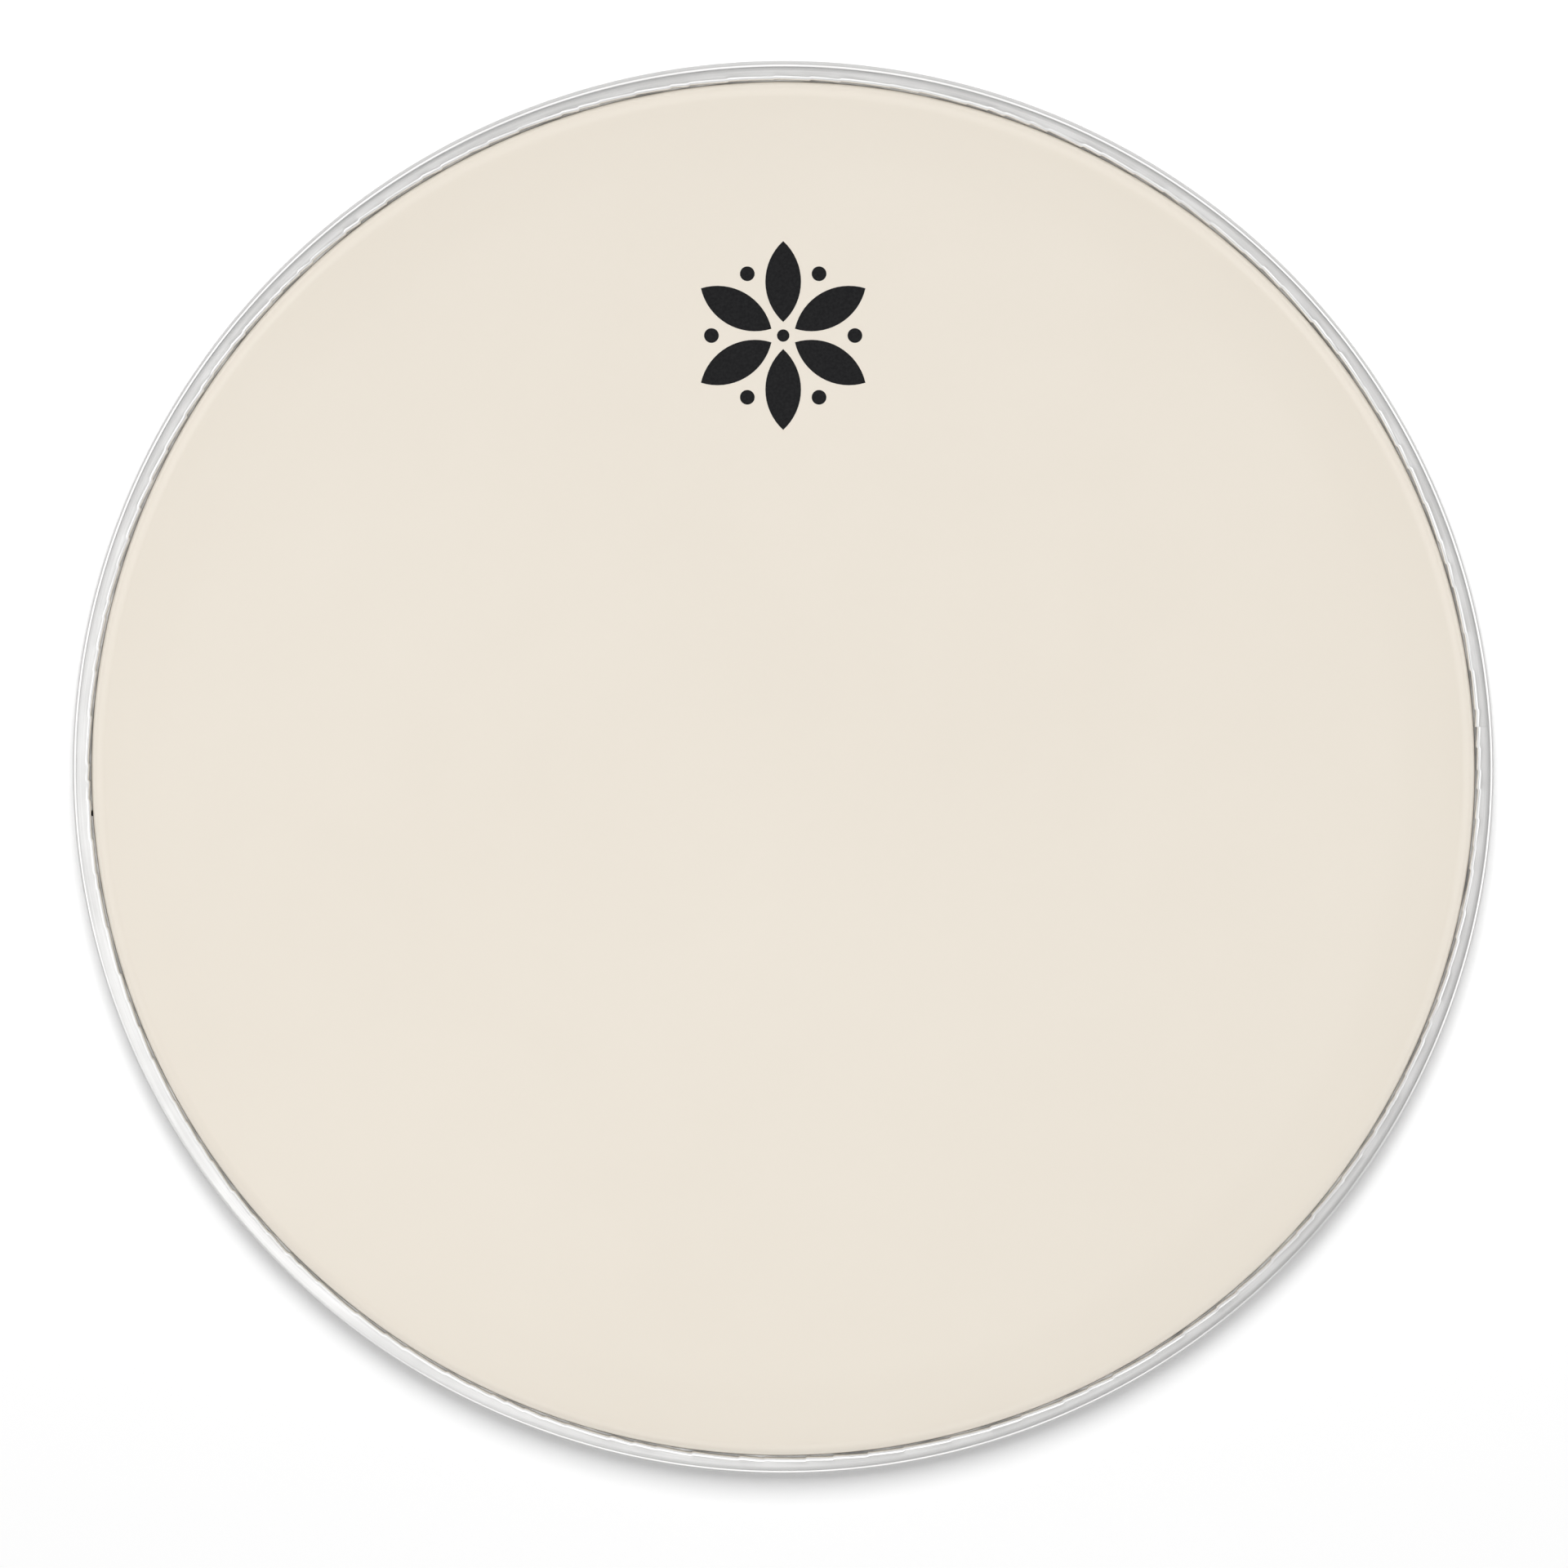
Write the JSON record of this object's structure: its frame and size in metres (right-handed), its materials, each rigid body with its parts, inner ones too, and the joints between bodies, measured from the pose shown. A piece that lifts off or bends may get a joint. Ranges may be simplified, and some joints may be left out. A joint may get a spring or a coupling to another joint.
{
  "type": "drum head",
  "caption": "Round drum head: a formed cream plastic film with a raised collar, locked in a crimped aluminium hoop that goes over the end of a drum shell.",
  "frame": {"origin": "on the drum's axis, at the foot of the hoop", "axes": "+Z along the drum's axis, out of the playing side; +Y towards the printed ornament; +X to the right of the picture"},
  "size_m": [0.3668, 0.3668, 0.0132],
  "materials": {
    "hoop_aluminium": "bright rolled strip with fine lines along it, marked by the crimping jaws",
    "ring_aluminium": "plain mill finish",
    "film": "smooth semi-gloss cream film"
  },
  "bodies": {
    "root": {"hoop_channel": "hoop_aluminium", "lock_ring": "ring_aluminium", "playing_film": "film"}
  },
  "joints": []
}
